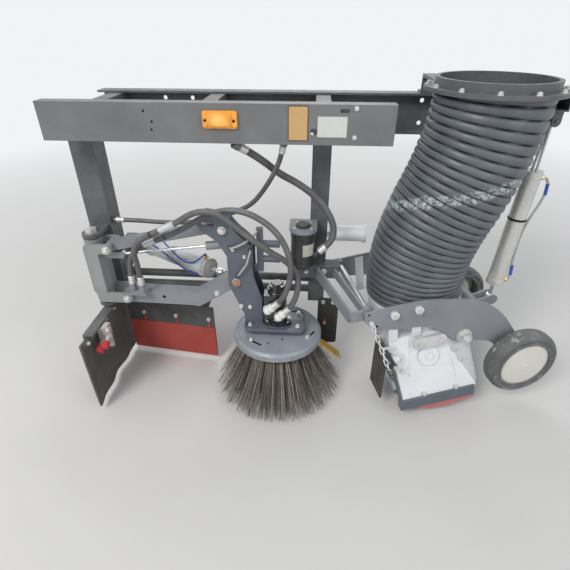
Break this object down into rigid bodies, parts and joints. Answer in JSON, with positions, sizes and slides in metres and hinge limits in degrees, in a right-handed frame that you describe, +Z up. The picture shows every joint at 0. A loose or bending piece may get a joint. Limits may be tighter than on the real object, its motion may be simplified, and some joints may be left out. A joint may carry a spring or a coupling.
{
  "type": "street sweeper side sweep gear",
  "caption": "Side sweep gear of a street sweeper: gutter broom on a parallelogram arm and a wheeled suction nozzle with its ribbed hose, hung from a bolt-on carrier.",
  "frame": {"origin": "middle of the carrier's chassis face, 1.06 m above the road", "axes": "+X to the truck's rear, +Y into the chassis, +Z up"},
  "size_m": [1.9407, 0.8168, 1.219],
  "materials": {
    "grey_paint": "satin",
    "black_steel": "satin",
    "dark_frame": "satin",
    "silver_casting": "satin",
    "cast_light": "rough",
    "cylinder_alu": "satin",
    "chrome_rod": "polished",
    "cream_paint": "satin",
    "zinc": "satin",
    "black_rubber": "matte",
    "red_rubber": "matte",
    "hose_rubber": "matte",
    "tyre_rubber": "matte",
    "cap_plastic": "satin",
    "bristle_plastic": "matte",
    "core_plastic": "matte",
    "amber_lens": "glossy"
  },
  "bodies": {
    "carrier": {"inner_rail": "dark_frame", "side_beam": "dark_frame", "cross_arms": "dark_frame", "marker_lamp": "amber_lens", "front_post": "dark_frame", "swing_pin": "zinc", "hanging_post": "dark_frame", "stretcher_tubes": "dark_frame", "filter": "black_steel", "air_cylinder": "cylinder_alu", "drawbar": "dark_frame", "hinge_pin": "zinc", "deflector_plate": "black_steel", "deflector_rubber": "red_rubber", "flap_bracket": "dark_frame", "front_flap": "black_rubber", "couplings": "zinc", "guard_plate": "black_steel", "hose_flange": "dark_frame", "lift_hanger": "dark_frame", "suction_hose": "hose_rubber", "filter_hose": "hose_rubber", "feed_hose": "hose_rubber"},
    "swing_knuckle_body": {"swing_knuckle": "cast_light"},
    "broom_arm_body": {"broom_arm": "grey_paint", "arm_pins": "zinc"},
    "broom_link_body": {"broom_link": "grey_paint", "link_pins": "zinc"},
    "broom_head": {"head_plates": "grey_paint", "head_deck": "grey_paint", "guard_disc": "grey_paint", "broom_motor": "black_steel", "head_upright": "black_steel", "motor_hose_lower": "hose_rubber", "motor_hose_upper": "hose_rubber"},
    "brush": {"brush_core": "core_plastic", "brush_bristles": "bristle_plastic"},
    "swing_yoke_body": {"swing_yoke": "zinc"},
    "swing_barrel_body": {"swing_barrel": "cylinder_alu"},
    "swing_rod_body": {"swing_rod": "chrome_rod"},
    "steady_barrel_body": {"steady_barrel": "grey_paint"},
    "steady_rod_body": {"steady_rod": "chrome_rod"},
    "suction_arm": {"outer_side_plate": "grey_paint", "inner_side_plate": "grey_paint", "nozzle_hangers": "zinc", "nozzle_hopper": "silver_casting", "nozzle_pivot_bolts": "silver_casting", "nozzle_link_plate": "silver_casting", "skirt_bar": "black_steel", "skirt_rubber": "red_rubber", "cross_shaft": "black_steel", "wheel_axles": "zinc", "flap_chain": "zinc"},
    "outer_wheel": {"outer_tyre": "tyre_rubber", "outer_hub": "cap_plastic"},
    "inner_wheel": {"inner_tyre": "tyre_rubber", "inner_hub": "cap_plastic"},
    "nozzle_flap_body": {"nozzle_flap": "black_rubber"},
    "lift_barrel_body": {"lift_barrel": "cream_paint"},
    "lift_rod_body": {"lift_rod": "chrome_rod"}
  },
  "joints": [
    {"name": "broom_swing", "type": "hinge", "parent": "carrier", "child": "swing_knuckle_body", "pos_m": [-0.85, -0.53, -0.52], "axis": [0, 0, -1], "range_deg": [0, 35]},
    {"name": "broom_lift", "type": "hinge", "parent": "swing_knuckle_body", "child": "broom_arm_body", "pos_m": [-0.74, -0.53, -0.63], "axis": [0, -1, 0], "range_deg": [-3, 15], "deforming": ["motor_hose_lower", "motor_hose_upper"]},
    {"name": "broom_link", "type": "hinge", "parent": "swing_knuckle_body", "child": "broom_link_body", "pos_m": [-0.78, -0.53, -0.411], "axis": [0, -1, 0], "range_deg": [-4, 16]},
    {"name": "broom_head_level", "type": "hinge", "parent": "broom_arm_body", "child": "broom_head", "pos_m": [-0.288, -0.53, -0.532], "axis": [0, -1, 0], "range_deg": [-16, 4]},
    {"name": "brush_spin", "type": "hinge", "parent": "broom_head", "child": "brush", "pos_m": [-0.13, -0.562, -0.802], "axis": [0, 0, 1], "continuous": true},
    {"name": "swing_yoke_turn", "type": "hinge", "parent": "carrier", "child": "swing_yoke_body", "pos_m": [-0.79, -0.2, -0.57], "axis": [0, 0, -1], "range_deg": [-1, 25]},
    {"name": "swing_barrel_pitch", "type": "hinge", "parent": "swing_yoke_body", "child": "swing_barrel_body", "pos_m": [-0.79, -0.2, -0.57], "axis": [-0.5338, -0.8456, 0], "range_deg": [-4, 13]},
    {"name": "swing_rod_slide", "type": "slide", "parent": "swing_barrel_body", "child": "swing_rod_body", "axis": [0.8454, -0.5337, 0.0204], "range_m": [-0.005, 0.175]},
    {"name": "steady_barrel_tilt", "type": "hinge", "parent": "broom_head", "child": "steady_barrel_body", "pos_m": [-0.292, -0.53, -0.388], "axis": [0, -1, 0], "range_deg": [-5, 17]},
    {"name": "steady_rod_slide", "type": "slide", "parent": "steady_barrel_body", "child": "steady_rod_body", "axis": [0.9907, 0, 0.1359], "range_m": [-0.004, 0.012]},
    {"name": "nozzle_lift", "type": "hinge", "parent": "carrier", "child": "suction_arm", "pos_m": [0.218, -0.692, -0.586], "axis": [0.2419, -0.9703, 0], "range_deg": [-4.5, 3], "deforming": ["suction_hose"]},
    {"name": "outer_wheel_spin", "type": "hinge", "parent": "suction_arm", "child": "outer_wheel", "pos_m": [0.8648, -0.5936, -0.84815], "axis": [0.2419, -0.9703, 0], "continuous": true},
    {"name": "inner_wheel_spin", "type": "hinge", "parent": "suction_arm", "child": "inner_wheel", "pos_m": [0.73803, -0.08517, -0.84815], "axis": [0.2419, -0.9703, 0], "continuous": true},
    {"name": "nozzle_flap_swing", "type": "hinge", "parent": "suction_arm", "child": "nozzle_flap_body", "pos_m": [0.29302, -0.63826, -0.76018], "axis": [-0.2419, 0.9703, 0], "range_deg": [-12, 20], "deforming": ["flap_chain"]},
    {"name": "lift_barrel_tilt", "type": "hinge", "parent": "carrier", "child": "lift_barrel_body", "pos_m": [0.79154, -0.40471, 0.046], "axis": [0.2419, -0.9703, 0], "range_deg": [-1, 1]},
    {"name": "lift_rod_slide", "type": "slide", "parent": "lift_barrel_body", "child": "lift_rod_body", "axis": [0.0506, 0.0126, 0.9986], "range_m": [-0.048, 0.032]}
  ],
  "couplings": [
    {"joint": "broom_link", "follows": "broom_lift", "ratio": 1},
    {"joint": "broom_head_level", "follows": "broom_lift", "ratio": -1},
    {"joint": "swing_yoke_turn", "follows": "broom_swing", "ratio": 0.678},
    {"joint": "swing_barrel_pitch", "follows": "broom_lift", "ratio": 0.745},
    {"joint": "swing_rod_slide", "follows": "broom_swing", "m_per_rad": 0.2748},
    {"joint": "steady_barrel_tilt", "follows": "broom_lift", "ratio": 1.02},
    {"joint": "steady_rod_slide", "follows": "broom_lift", "m_per_rad": 0.0348},
    {"joint": "lift_barrel_tilt", "follows": "nozzle_lift", "ratio": 0.07},
    {"joint": "lift_rod_slide", "follows": "nozzle_lift", "m_per_rad": 0.5915}
  ]
}
